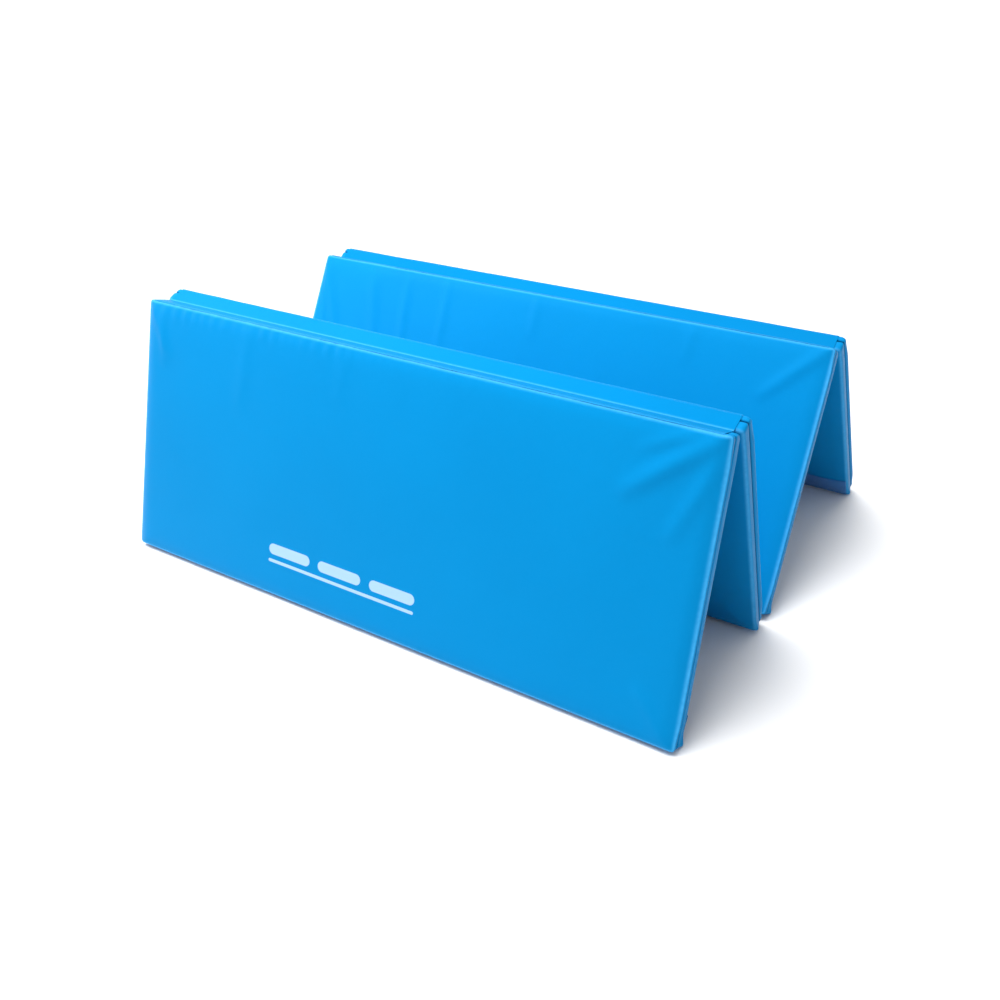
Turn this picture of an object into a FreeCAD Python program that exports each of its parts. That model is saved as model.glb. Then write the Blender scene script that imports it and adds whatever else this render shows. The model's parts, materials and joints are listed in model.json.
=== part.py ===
"""Folding gym mat: four padded vinyl panels joined in an accordion fold.

Millimetres. X runs along the ridges, Y from the front panel to the back one,
Z up, origin under the middle of the whole mat on the floor.
"""
import FreeCAD, Part
import math
import os

V = FreeCAD.Vector

# ---- driving dimensions -------------------------------------------------
mat_width = 1200.0          # length of a panel along its ridge
hinge_pitch = 500.0         # hinge line to hinge line across a panel
panel_thickness = 42.0      # over both covers
front_lean_deg = 17.0       # front panel from vertical, as it stands
back_lean_deg = 30.0        # third and fourth panels from vertical
hinge_play = 0.3            # from a hinge line to the nearest piece
leaf_thickness = 1.2        # hinge strip laid on a panel's edge
ridge_leaf_stop = 5.7       # a ridge strip stops short of the outer face
valley_leaf_stop = 13.7     # a valley strip stops short of the inner face, clear of the floor
leaf_tuck = 4.0             # how far it turns down the panel's face
cover_wall = 1.0            # vinyl with its woven backing
seam_depth = 17.5           # outer face to the seam between the covers
edge_radius = 7.0           # rounding of the padded edges
corner_radius = 14.0        # rounding of a panel's four corners
zip_margin = 25.0           # tape's ends, from the hinge lines
zip_tape_width = 20.0
zip_tape_thickness = 1.0
zip_window_width = 14.0     # gap between the covers where the coil shows
coil_width = 5.0
coil_height = 2.0
slider_length = 14.0
slider_width = 11.0
slider_height = 4.6
slider_wall = 1.3
slider_play = 0.35          # slider to coil and to tape
pull_length = 24.0
pull_width = 4.4
pull_thickness = 1.4
strip_inset = 4.0           # flap and loop tape, from each end of the panel
flap_height = 50.0
flap_thickness = 1.2
flap_lift = 1.3             # gap from the inner cover to the flap
flap_open_deg = 15.0        # flap from the inner face, as it hangs now
hem_height = 14.0
hook_tape_height = 36.0
hook_thickness = 1.5
loop_height = 50.0
loop_thickness = 1.6

# ---- sizes that follow --------------------------------------------------
leaf_gap = hinge_play + leaf_thickness
seam_n = seam_depth
face_out = hinge_play                    # outer cover's face
face_in = panel_thickness - hinge_play   # inner cover's face
end_low = leaf_gap                       # panel's bottom edge
end_high = hinge_pitch - leaf_gap        # panel's top edge
half_width = mat_width / 2
zip_low = zip_margin
zip_high = hinge_pitch - zip_margin
coil_face = -half_width + cover_wall - coil_height
strip_half = half_width - strip_inset
flap_axis_u = end_low + edge_radius
flap_axis_n = face_in + flap_lift + flap_thickness / 2


# ---- a panel in its own axes: X along the ridge, Y = n from the outer ----
# ---- face to the inner one, Z = u from the bottom edge to the top --------
def block(x0, x1, n0, n1, u0, u1):
    return Part.makeBox(x1 - x0, n1 - n0, u1 - u0, V(x0, n0, u0))


def padded_block(inset):
    """The panel's rounded block, shrunk by inset on every side."""
    radius = edge_radius - inset
    corner = corner_radius - inset
    n0 = face_out + inset
    n1 = face_in - inset
    shape = block(-half_width + inset, half_width - inset, n0, n1, end_low + inset, end_high - inset)
    uprights = [e for e in shape.Edges if abs(e.tangentAt(e.FirstParameter).y) > 0.9]
    shape = shape.makeFillet(corner, uprights)
    rims = [e for e in shape.Edges if e.BoundBox.YLength < 0.01]
    return shape.makeFillet(radius, rims)


def half_space(n0, n1):
    return block(-mat_width, mat_width, n0, n1, -hinge_pitch, 2 * hinge_pitch)


OUTSIDE = padded_block(0.0)
INSIDE = padded_block(cover_wall)


def zip_tape():
    half = zip_tape_width / 2
    x0 = -half_width + cover_wall
    tape = block(x0, x0 + zip_tape_thickness, seam_n - half, seam_n + half, zip_low, zip_high)
    coil = block(coil_face, x0, seam_n - coil_width / 2, seam_n + coil_width / 2,
                 zip_low + 4, zip_high - 4)
    ridge = coil.makeFillet(1.2, [e for e in coil.Edges
                                  if e.BoundBox.ZLength > 1 and e.BoundBox.Center.x < x0 - 1])
    return tape.fuse(ridge).removeSplitter()


def zip_window():
    half = zip_window_width / 2
    return block(-half_width - 1, -half_width + cover_wall, seam_n - half, seam_n + half,
                 zip_low + 3, zip_high - 3)


def tape_room():
    half = zip_tape_width / 2
    x0 = -half_width + cover_wall
    return block(x0, x0 + zip_tape_thickness, seam_n - half, seam_n + half, zip_low, zip_high)


def slider():
    """Body that straddles the coil, with a bridge for the pull."""
    top = zip_high - 8
    low = top - slider_length
    x_in = -half_width + cover_wall - slider_play
    x_out = coil_face - slider_play - slider_wall
    half = slider_width / 2
    body = block(x_out, x_in, seam_n - half, seam_n + half, low, top)
    body = body.makeFillet(1.0, [e for e in body.Edges if e.BoundBox.XLength > 2])
    channel = coil_width / 2 + slider_play
    body = body.cut(block(coil_face - slider_play, x_in + 1, seam_n - channel, seam_n + channel,
                          low - 1, top + 1))
    post = block(x_out - 2.6, x_out, seam_n - 1.5, seam_n + 1.5, low + 8.5, low + 10.5)
    foot = block(x_out - 2.6, x_out, seam_n - 1.5, seam_n + 1.5, low + 1.5, low + 3.5)
    arch = block(x_out - 3.8, x_out - 2.6, seam_n - 1.5, seam_n + 1.5, low + 1.5, low + 10.5)
    return body.fuse([post, foot, arch]).removeSplitter()


def zip_pull():
    """Tab hanging in the slider's bridge."""
    top = zip_high - 8 - slider_length + 7.5
    x_out = coil_face - slider_play - slider_wall - 0.4
    half = pull_width / 2
    tab = block(x_out - pull_thickness, x_out, seam_n - half, seam_n + half, top - pull_length, top)
    tab = tab.makeFillet(1.8, [e for e in tab.Edges if e.BoundBox.XLength > 1])
    eye = block(x_out - 5, x_out + 1, seam_n - 1.6, seam_n + 1.6, top - 6.1, top - 1.6)
    return tab.cut(eye)


def leaf(hinge_at_top):
    """Half of a hinge strip: over the panel's edge and round its corner."""
    x1 = half_width - corner_radius
    n_in = panel_thickness - hinge_play
    top = hinge_pitch - hinge_play
    stop = ridge_leaf_stop if hinge_at_top else valley_leaf_stop
    strip = block(-x1, x1, stop, n_in, end_high - leaf_tuck, top).cut(OUTSIDE)
    if hinge_at_top:
        return strip
    half_turn = FreeCAD.Rotation(V(1, 0, 0), 180)
    strip.Placement = FreeCAD.Placement(V(0, panel_thickness, hinge_pitch), half_turn)
    return strip


def flap_hem():
    low = flap_axis_u + 2.4
    return block(-strip_half, strip_half, face_in, face_in + flap_lift - 0.3, low, low + hem_height)


def opened(shape):
    """Swing a piece of the flap away from the panel about the flap's root."""
    shape.rotate(V(0, flap_axis_n, flap_axis_u), V(1, 0, 0), -flap_open_deg)
    return shape


def hook_flap():
    n0 = flap_axis_n - flap_thickness / 2
    sheet = block(-strip_half, strip_half, n0, n0 + flap_thickness, flap_axis_u,
                  flap_axis_u + flap_height)
    root = Part.makeCylinder(flap_thickness / 2 + 0.2, 2 * strip_half,
                             V(-strip_half, flap_axis_n, flap_axis_u), V(1, 0, 0))
    return opened(sheet.fuse(root).removeSplitter())


def hook_tape():
    n0 = flap_axis_n + flap_thickness / 2
    high = flap_axis_u + flap_height - 4
    tape = block(-strip_half + 6, strip_half - 6, n0, n0 + hook_thickness,
                 high - hook_tape_height, high)
    return opened(tape)


def loop_tape():
    low = end_low + edge_radius
    return block(-strip_half, strip_half, face_in, face_in + loop_thickness, low, low + loop_height)


# ---- how the panels stand -----------------------------------------------
def foot_height(lean):
    """Height of a panel's outer bottom corner when it rests on its rounded inner edge."""
    r = edge_radius
    return r - (end_low + r) * math.cos(lean) + (face_in - r) * math.sin(lean)


def climb(lean):
    """Rise from a panel's outer bottom corner to its inner top corner."""
    return hinge_pitch * math.cos(lean) - panel_thickness * math.sin(lean)


def stride(lean):
    """Ground covered between the same two corners."""
    return hinge_pitch * math.sin(lean) + panel_thickness * math.cos(lean)


front_lean = math.radians(front_lean_deg)
back_lean = math.radians(back_lean_deg)
front_foot = foot_height(front_lean)
valley_z = foot_height(back_lean)
ridge_1_z = front_foot + climb(front_lean)
ridge_2_z = valley_z + climb(back_lean)
diagonal = math.hypot(hinge_pitch, panel_thickness)
second_lean = math.acos((ridge_1_z - valley_z) / diagonal) - math.atan2(panel_thickness, hinge_pitch)

ridge_1_y = stride(front_lean)
valley_y = ridge_1_y + stride(second_lean)
ridge_2_y = valley_y + stride(back_lean)
back_y = ridge_2_y + stride(back_lean)

# panel: lean, side its inner face looks to, y and z of its outer bottom corner
STAND = {
    1: (front_lean, 1, 0.0, front_foot),
    2: (second_lean, -1, valley_y, valley_z),
    3: (back_lean, 1, valley_y, valley_z),
    4: (back_lean, -1, back_y, valley_z),
}


def moved(shape, move):
    out = shape.copy()
    out.Placement = move.multiply(out.Placement)
    return out


def stand(shape, panel):
    lean, side, y, z = STAND[panel]
    placed = shape.copy()
    if side < 0:
        placed = placed.mirror(V(0, 0, 0), V(0, 1, 0))
    turn = FreeCAD.Rotation(V(1, 0, 0), -side * math.degrees(lean))
    return moved(placed, FreeCAD.Placement(V(0, y, z), turn))


# ---- the pieces ---------------------------------------------------------
skin = OUTSIDE.cut(INSIDE).cut(zip_window()).cut(tape_room())
outer_cover = skin.common(half_space(-10.0, seam_n))
inner_cover = skin.common(half_space(seam_n, panel_thickness + 10.0))
foam_core = INSIDE.cut(tape_room())
tape = zip_tape()
runner = slider()
pull = zip_pull()

nodes = {}
for k in STAND:
    nodes[f"foam_core_{k}"] = stand(foam_core, k)
    nodes[f"outer_cover_{k}"] = stand(outer_cover, k)
    nodes[f"inner_cover_{k}"] = stand(inner_cover, k)
    nodes[f"zip_tape_{k}"] = stand(tape, k)
    nodes[f"zip_slider_{k}"] = stand(runner, k)
    nodes[f"zip_pull_{k}"] = stand(pull, k)
nodes["ridge_1_leaf_front"] = stand(leaf(True), 1)
nodes["ridge_1_leaf_back"] = stand(leaf(True), 2)
nodes["valley_leaf_front"] = stand(leaf(False), 2)
nodes["valley_leaf_back"] = stand(leaf(False), 3)
nodes["ridge_2_leaf_front"] = stand(leaf(True), 3)
nodes["ridge_2_leaf_back"] = stand(leaf(True), 4)
nodes["flap_hem"] = stand(flap_hem(), 1)
nodes["hook_flap"] = stand(hook_flap(), 1)
nodes["hook_tape"] = stand(hook_tape(), 1)
nodes["loop_tape"] = stand(loop_tape(), 4)

# ---- centre the whole mat over the origin -------------------------------
whole = FreeCAD.BoundBox()
for shape in nodes.values():
    whole.add(shape.optimalBoundingBox(False))
centre = FreeCAD.Placement(V(-(whole.XMin + whole.XMax) / 2, -(whole.YMin + whole.YMax) / 2,
                             -whole.ZMin), FreeCAD.Rotation())
os.makedirs("parts", exist_ok=True)
for name, shape in nodes.items():
    shape = moved(shape, centre)
    solids = shape.Solids
    print(name, "solids", len(solids), "valid", shape.isValid(), "cm3", round(shape.Volume / 1000, 2))
    (solids[0] if len(solids) == 1 else shape).exportStep(f"parts/{name}.step")


# ---- hinge lines and slide directions, for the record -------------------
def place(name, x, y, z):
    at = centre.multVec(V(x, y, z))
    print("AT", name, round(at.x, 3), round(at.y, 3), round(at.z, 3))


place("ridge_1", 0, ridge_1_y, ridge_1_z)
place("valley", 0, valley_y, valley_z)
place("ridge_2", 0, ridge_2_y, ridge_2_z)
flap_up = flap_axis_u * math.cos(front_lean) - flap_axis_n * math.sin(front_lean)
flap_out = flap_axis_u * math.sin(front_lean) + flap_axis_n * math.cos(front_lean)
place("flap", 0, flap_out, front_foot + flap_up)
for k, (lean, side, y, z) in STAND.items():
    print("LEAN", k, round(math.degrees(lean), 5), side)
    place(f"outer_low_{k}", 0, y, z)
print("SIZE", [round(v, 2) for v in (whole.XLength, whole.YLength, whole.ZLength)])
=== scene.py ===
# %% [markdown]
# # Folding gym mat
#
# A gym mat like this is four foam slabs, each sewn into a vinyl bag, joined edge to edge by
# strips of the same vinyl. Stood on edge it zigzags like a screen. The engineering model already
# fixes every size and every fold line. Here we make the soft, padded look around it: crowned
# faces, rolled edges, a sunken seam, folds in the sheet, strips, thread, zips, hook and loop.

# %% Open the engineering model as a fixed frame
import json
import math
import bpy
import numpy as np
from mathutils import Matrix, Vector


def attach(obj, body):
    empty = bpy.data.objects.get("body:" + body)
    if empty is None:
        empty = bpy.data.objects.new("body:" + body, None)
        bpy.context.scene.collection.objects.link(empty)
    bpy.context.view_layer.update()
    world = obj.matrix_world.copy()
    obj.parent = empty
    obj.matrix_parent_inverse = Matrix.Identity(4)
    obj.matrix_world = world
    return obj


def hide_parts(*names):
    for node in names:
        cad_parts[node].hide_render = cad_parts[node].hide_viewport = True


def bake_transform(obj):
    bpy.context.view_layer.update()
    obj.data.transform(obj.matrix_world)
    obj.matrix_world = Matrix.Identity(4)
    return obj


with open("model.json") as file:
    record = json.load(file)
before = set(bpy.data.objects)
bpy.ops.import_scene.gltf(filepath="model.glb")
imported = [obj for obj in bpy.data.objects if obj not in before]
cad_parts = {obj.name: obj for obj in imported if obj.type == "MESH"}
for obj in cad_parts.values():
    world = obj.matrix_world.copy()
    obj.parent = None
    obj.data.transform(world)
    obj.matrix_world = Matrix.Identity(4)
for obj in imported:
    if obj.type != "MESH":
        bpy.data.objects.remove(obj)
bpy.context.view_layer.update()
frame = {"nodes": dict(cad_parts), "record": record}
record = frame["record"]

# %% [markdown]
# ## How each panel stands
#
# A panel is easiest to model lying in its own axes: x along the ridge, u from its bottom edge to
# its top edge, n from its outer face to its inner face. The fold lines say where those axes lie
# in the room, so we work the leans out from them and never type a position twice.

# %% Panel axes from the fold lines
WIDTH = 1.2           # along the ridge
PITCH = 0.5           # fold line to fold line
THICK = 0.042         # over both covers
LEAF_GAP = 0.0015     # fold line to the padded edge
SEAM = 0.0175         # outer face to the seam
CORNER = 0.0095       # round of a panel's corners
STRIP_INSET = 0.014   # panel end to the cut end of a hinge strip
END_LOW, END_HIGH = LEAF_GAP, PITCH - LEAF_GAP
MIDDLE_U = PITCH / 2

folds = {j["name"]: j for j in record["behaviour"]["joints"]}
mounts = {m["name"]: m for m in record["mounts"]}
ridge_1 = np.array(folds["ridge_1_fold"]["pos_m"])
valley = np.array(folds["valley_fold"]["pos_m"])
ridge_2 = np.array(folds["ridge_2_fold"]["pos_m"])
MIDDLE_X = float(ridge_1[0])


class Panel:
    """One panel's place: lean from vertical, side its inner face looks to, a known corner."""

    def __init__(self, number, lean, side, corner):
        self.lean, self.side = lean, side
        self.up = np.array([0.0, side * math.sin(lean), math.cos(lean)])
        self.inward = np.array([0.0, side * math.cos(lean), -math.sin(lean)])
        self.corner = np.array([MIDDLE_X, corner[1], corner[2]])
        self.body = f"panel_{number}"

    def place(self, local):
        """Points (x, n, u) in the panel's axes, moved to the room."""
        p = np.asarray(local, float)
        along = np.array([1.0, 0.0, 0.0])
        return self.corner + p[..., :1] * along + p[..., 1:2] * self.inward + p[..., 2:3] * self.up


def lean_between(low, high):
    rise, run = high[2] - low[2], abs(high[1] - low[1])
    return math.atan2(run, rise) - math.atan2(THICK, PITCH)


def climb(lean, side):
    """From a panel's bottom outer corner to the fold line at its top."""
    return (PITCH * np.array([0, side * math.sin(lean), math.cos(lean)])
            + THICK * np.array([0, side * math.cos(lean), -math.sin(lean)]))


front_lean = math.asin(mounts["front_face"]["axis"][2])
back_lean = lean_between(valley, ridge_2)
panels = {
    1: Panel(1, front_lean, 1, ridge_1 - climb(front_lean, 1)),
    2: Panel(2, lean_between(valley, ridge_1), -1, valley),
    3: Panel(3, back_lean, 1, valley),
    4: Panel(4, back_lean, -1, ridge_2 - climb(back_lean, -1)),
}
print("leans:", {k: round(math.degrees(p.lean), 2) for k, p in panels.items()})

# %% [markdown]
# ## Finishes
#
# The covers are PVC-coated polyester: a satin plastic skin with a fine pebble grain and the weave
# of the cloth behind it just showing through. The colour is nearly even, a little paler where the
# sheet is stretched over an edge, and paler again there as a painted highlight along the rolled
# edges. The seam line is darkened as painted shade. We build it as one recipe with a few knobs, so
# that every vinyl piece shares the same grain at its true size, about half a millimetre.

# %% A small kit for shader recipes
def new_material(name, base, roughness, specular=0.5):
    material = bpy.data.materials.new(name)
    material.use_nodes = True
    tree = material.node_tree
    shader = tree.nodes["Principled BSDF"]
    shader.inputs["Base Color"].default_value = (*base, 1.0)
    shader.inputs["Roughness"].default_value = roughness
    shader.inputs["Specular IOR Level"].default_value = specular
    return material, tree, shader


def feed(tree, socket, value):
    """Links another node's output to the socket, or sets a plain value on it."""
    if isinstance(value, bpy.types.NodeSocket):
        tree.links.new(value, socket)
    else:
        socket.default_value = value


def node(tree, kind, **inputs):
    made = tree.nodes.new(kind)
    for key, value in inputs.items():
        feed(tree, made.inputs[key.replace("_", " ")], value)
    return made


def math_node(tree, operation, a, b=0.0, clamp=False):
    made = tree.nodes.new("ShaderNodeMath")
    made.operation, made.use_clamp = operation, clamp
    for socket, value in zip(made.inputs, (a, b)):
        feed(tree, socket, value)
    return made.outputs[0]


def blend_colour(tree, share, first, second):
    made = tree.nodes.new("ShaderNodeMix")
    made.data_type = "RGBA"
    feed(tree, made.inputs[0], share)
    for socket, colour in ((made.inputs[6], first), (made.inputs[7], second)):
        feed(tree, socket, (*colour, 1.0) if isinstance(colour, tuple) else colour)
    return made.outputs[2]


def object_point(tree):
    return tree.nodes.new("ShaderNodeTexCoord").outputs["Object"]


def mesh_mark(tree, name):
    """A number stored on the mesh's own points."""
    mark = tree.nodes.new("ShaderNodeAttribute")
    mark.attribute_name = name
    return mark.outputs["Fac"]


def crossed_waves(tree, point, scale, distortion):
    warp, weft = (node(tree, "ShaderNodeTexWave", Vector=point, Scale=scale, Distortion=distortion)
                  for _ in range(2))
    weft.bands_direction = "Z"
    return warp.outputs["Fac"], weft.outputs["Fac"]


print("shader kit ready")


# %% [markdown]
# ## Printed mark
#
# Mats carry a pale screen print low on the front. A plain row of bars stands in for it here.
# The print is ink on the sheet, with no height of its own, so it belongs in the finish: the
# recipe measures each point in the panel's own axes and asks whether it lies inside a bar.

# %% Vinyl recipe
VINYL_BLUE = (0.0, 0.228, 0.545)
# colour the rolled edges pale towards: partly stretch wear, partly painted highlight
VINYL_PALE = (0.100, 0.500, 0.920)
VINYL_DEEP = (0.0, 0.206, 0.500)
# painted shade: dark colour laid along the seam line where the two trays meet
PAINTED_SEAM_SHADE_COLOUR = (0.0, 0.030, 0.100)
SKIN_TINT = (0.10, 0.62, 1.0, 1.0)
# the paling of the rolled edges is partly stretch wear of the vinyl and partly painted highlight
RIM_WEAR_AND_HIGHLIGHT, RIM_PATCHY_SHARE = 0.28, 0.35   # how far a rolled edge pales, and how much of it is patchy
WEAVE_SHOW = 0.12                  # height of the weave against the pebble grain
PRINT_BLEED = 0.00025              # soft edge of the print
PRINT_PALE = (0.36, 0.55, 0.85)
PRINT_BARS = (  # middle x, middle u, half length, half height, in the front panel's axes
    (-0.192, 0.093, 0.050, 0.0105),
    (-0.072, 0.093, 0.050, 0.0105),
    (0.048, 0.093, 0.050, 0.0105),
    (-0.072, 0.070, 0.170, 0.0032),
)


def inside_bar(tree, across, up, bar):
    """1 inside a bar with round ends, 0 outside, with a hair's width of soft edge."""
    mid_x, mid_u, half_length, half_height = bar
    from_middle = math_node(tree, "ABSOLUTE", math_node(tree, "SUBTRACT", across, mid_x))
    past_end = math_node(tree, "MAXIMUM",
                         math_node(tree, "SUBTRACT", from_middle, half_length - half_height), 0.0)
    off_line = math_node(tree, "SUBTRACT", up, mid_u)
    squares = [math_node(tree, "POWER", part, 2.0) for part in (past_end, off_line)]
    reach = math_node(tree, "SQRT", math_node(tree, "ADD", *squares))
    gap = math_node(tree, "SUBTRACT", half_height, reach)
    return math_node(tree, "MULTIPLY", gap, 1 / PRINT_BLEED, clamp=True)


def vinyl(name, light=1.0, printed=None):
    # light scales every tone of the recipe; below 1 it paints shade onto that copy of the vinyl
    deep, base, pale = (tuple(min(light * c, 1.0) for c in tone)
                        for tone in (VINYL_DEEP, VINYL_BLUE, VINYL_PALE))
    material, tree, shader = new_material(name, base, roughness=0.34, specular=0.05)
    shader.inputs["Specular Tint"].default_value = SKIN_TINT
    point = object_point(tree)
    cloud = node(tree, "ShaderNodeTexNoise", Vector=point, Scale=4.5, Detail=3.0)
    colour = blend_colour(tree, cloud.outputs["Fac"], deep, base)
    # the rolled edges pale: partly stretch wear of the vinyl, partly a painted highlight along the
    # roll
    wear_and_highlight_patches = node(tree, "ShaderNodeTexNoise", Vector=point, Scale=160.0, Detail=4.0)
    patchy_wear_and_highlight = math_node(tree, "MULTIPLY", wear_and_highlight_patches.outputs["Fac"], RIM_PATCHY_SHARE)
    wear_and_highlight = math_node(tree, "MULTIPLY", mesh_mark(tree, "rim"),
                     math_node(tree, "ADD", patchy_wear_and_highlight, RIM_WEAR_AND_HIGHLIGHT))
    colour = blend_colour(tree, wear_and_highlight, colour, pale)
    # painted shade: the seam line is darkened
    colour = blend_colour(tree, mesh_mark(tree, "painted_seam_shade"), colour, PAINTED_SEAM_SHADE_COLOUR)
    if printed:
        local = node(tree, "ShaderNodeMapping", Vector=point)
        local.vector_type = "TEXTURE"
        local.inputs["Location"].default_value = tuple(printed.corner)
        local.inputs["Rotation"].default_value = (-printed.side * printed.lean, 0.0, 0.0)
        parts = node(tree, "ShaderNodeSeparateXYZ", Vector=local.outputs[0])
        ink = math_node(tree, "LESS_THAN", parts.outputs["Y"], SEAM / 2)
        bars = 0.0
        for bar in PRINT_BARS:
            bars = math_node(tree, "MAXIMUM", bars,
                             inside_bar(tree, parts.outputs["X"], parts.outputs["Z"], bar))
        ink = math_node(tree, "MULTIPLY", ink, bars)
        colour = blend_colour(tree, ink, colour, PRINT_PALE)
    tree.links.new(colour, shader.inputs["Base Color"])
    pebble = node(tree, "ShaderNodeTexVoronoi", Vector=point, Scale=1500.0)
    weave = math_node(tree, "ADD", *crossed_waves(tree, point, 160.0, 0.4))
    grain = math_node(tree, "ADD", pebble.outputs["Distance"],
                      math_node(tree, "MULTIPLY", weave, WEAVE_SHOW))
    patch = node(tree, "ShaderNodeTexNoise", Vector=point, Scale=22.0, Detail=4.0)
    rough = node(tree, "ShaderNodeMapRange", Value=patch.outputs["Fac"], To_Min=0.31, To_Max=0.43)
    tree.links.new(rough.outputs["Result"], shader.inputs["Roughness"])
    ripple = node(tree, "ShaderNodeTexNoise", Vector=point, Scale=26.0, Detail=2.0)
    soft = node(tree, "ShaderNodeBump", Strength=0.10, Distance=0.004, Height=ripple.outputs["Fac"])
    bump = node(tree, "ShaderNodeBump", Strength=0.10, Distance=0.00025, Height=grain,
                Normal=soft.outputs["Normal"])
    tree.links.new(bump.outputs["Normal"], shader.inputs["Normal"])
    return material


vinyl_plain = vinyl("vinyl plain")
vinyl_printed = vinyl("vinyl printed", printed=panels[1])
# painted shade: the hinge strips use a copy of the same vinyl 8 percent darker than the covers
shaded_strip_vinyl = vinyl("vinyl strip", light=0.92)
print("vinyl recipes:", vinyl_plain.name, vinyl_printed.name, shaded_strip_vinyl.name)

# %% [markdown]
# ## Cloth tape, thread, metal and foam
#
# The zip tape and the hook and loop tapes are woven nylon dyed to match, so they are duller and
# hairier than the vinyl. Crossed waves give the weave, and noise breaks it up. The sliders are
# die-cast metal under enamel. The foam is hidden, but it still gets its cells.

# %% Other recipes
def woven(name, base, dark, threads, fuzz, depth):
    material, tree, shader = new_material(name, base, roughness=0.85, specular=0.2)
    shader.inputs["Sheen Weight"].default_value = 0.35
    point = object_point(tree)
    cloth = math_node(tree, "MULTIPLY", *crossed_waves(tree, point, threads, 1.0))
    hairs = node(tree, "ShaderNodeTexNoise", Vector=point, Scale=fuzz, Detail=5.0).outputs["Fac"]
    height = math_node(tree, "ADD", cloth, hairs)
    tree.links.new(blend_colour(tree, hairs, dark, base), shader.inputs["Base Color"])
    bump = node(tree, "ShaderNodeBump", Strength=0.7, Distance=depth, Height=height)
    tree.links.new(bump.outputs["Normal"], shader.inputs["Normal"])
    return material


def speckled(name, base, dark, roughness, metallic, scale, depth):
    material, tree, shader = new_material(name, base, roughness)
    shader.inputs["Metallic"].default_value = metallic
    point = object_point(tree)
    spots = node(tree, "ShaderNodeTexNoise", Vector=point, Scale=scale, Detail=6.0)
    colour = blend_colour(tree, spots.outputs["Fac"], dark, base)
    tree.links.new(colour, shader.inputs["Base Color"])
    rough = node(tree, "ShaderNodeMapRange", Value=spots.outputs["Fac"],
                 To_Min=roughness - 0.08, To_Max=roughness + 0.12)
    tree.links.new(rough.outputs["Result"], shader.inputs["Roughness"])
    bump = node(tree, "ShaderNodeBump", Strength=0.4, Distance=depth, Height=spots.outputs["Fac"])
    tree.links.new(bump.outputs["Normal"], shader.inputs["Normal"])
    return material


zip_cloth = woven("zip cloth", (0.004, 0.13, 0.40), (0.002, 0.08, 0.28),
                  threads=330.0, fuzz=2500.0, depth=0.0002)
loop_cloth = woven("loop cloth", (0.004, 0.20, 0.56), (0.002, 0.13, 0.42),
                   threads=240.0, fuzz=1400.0, depth=0.0006)
hook_cloth = woven("hook cloth", (0.004, 0.17, 0.50), (0.002, 0.10, 0.36),
                   threads=400.0, fuzz=1800.0, depth=0.0003)
thread = woven("thread", (0.010, 0.30, 0.72), (0.004, 0.20, 0.55),
               threads=1800.0, fuzz=3000.0, depth=0.0001)
coil_nylon = speckled("coil nylon", (0.006, 0.15, 0.45), (0.003, 0.10, 0.34),
                      roughness=0.42, metallic=0.0, scale=900.0, depth=0.00005)
enamel = speckled("enamel", (0.03, 0.05, 0.09), (0.02, 0.03, 0.06),
                  roughness=0.33, metallic=0.25, scale=700.0, depth=0.00004)
foam = speckled("foam cells", (0.62, 0.63, 0.63), (0.42, 0.43, 0.44),
                roughness=0.9, metallic=0.0, scale=500.0, depth=0.0006)
for name, piece in frame["nodes"].items():
    finish = {"foam": foam, "zip_tape": zip_cloth, "zip_slider": enamel, "zip_pull": enamel}
    for start, material in finish.items():
        if name.startswith(start):
            piece.data.materials.clear()
            piece.data.materials.append(material)
print("finishes given to the carried-over pieces")

# %% [markdown]
# ## Building meshes
#
# Every soft piece here is a closed shell that we work out point by point and hand over as a
# finished mesh. A shell whose faces point inwards would shade wrongly, so we measure its signed
# volume and turn it over when that comes out negative.

# %% Mesh helpers
def quads_of_grid(rows, columns, first=0):
    """Faces of a rows x columns sheet of points numbered row by row."""
    corner = first + np.arange(rows - 1)[:, None] * columns + np.arange(columns - 1)[None, :]
    return np.stack([corner, corner + columns, corner + columns + 1, corner + 1], -1).reshape(-1, 4)


def rim_of_grid(rows, columns):
    """Point numbers round the edge of that sheet, in order."""
    top = np.arange(columns)
    right = np.arange(1, rows) * columns + columns - 1
    bottom = (rows - 1) * columns + np.arange(columns - 2, -1, -1)
    left = np.arange(rows - 2, 0, -1) * columns
    return np.concatenate([top, right, bottom, left])


def signed_volume(points, faces):
    a, b, c, d = (points[faces[:, i]] - points.mean(0) for i in range(4))
    halves = [np.einsum("ij,ij->i", a, np.cross(*pair)) for pair in ((b, c), (c, d))]
    return (halves[0] + halves[1]).sum() / 6


def closed_sheet(top, bottom):
    """Closed shell from two matching grids of points, joined round their edges."""
    rows, columns = top.shape[:2]
    count = rows * columns
    upper = quads_of_grid(rows, columns)
    lower = quads_of_grid(rows, columns, count)[:, ::-1]
    rim = rim_of_grid(rows, columns)
    after = np.roll(rim, -1)
    wall = np.stack([rim, after, after + count, rim + count], -1)
    points = np.concatenate([top.reshape(-1, 3), bottom.reshape(-1, 3)])
    faces = np.concatenate([upper, lower, wall])
    return points, faces if signed_volume(points, faces) > 0 else faces[:, ::-1]


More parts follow.
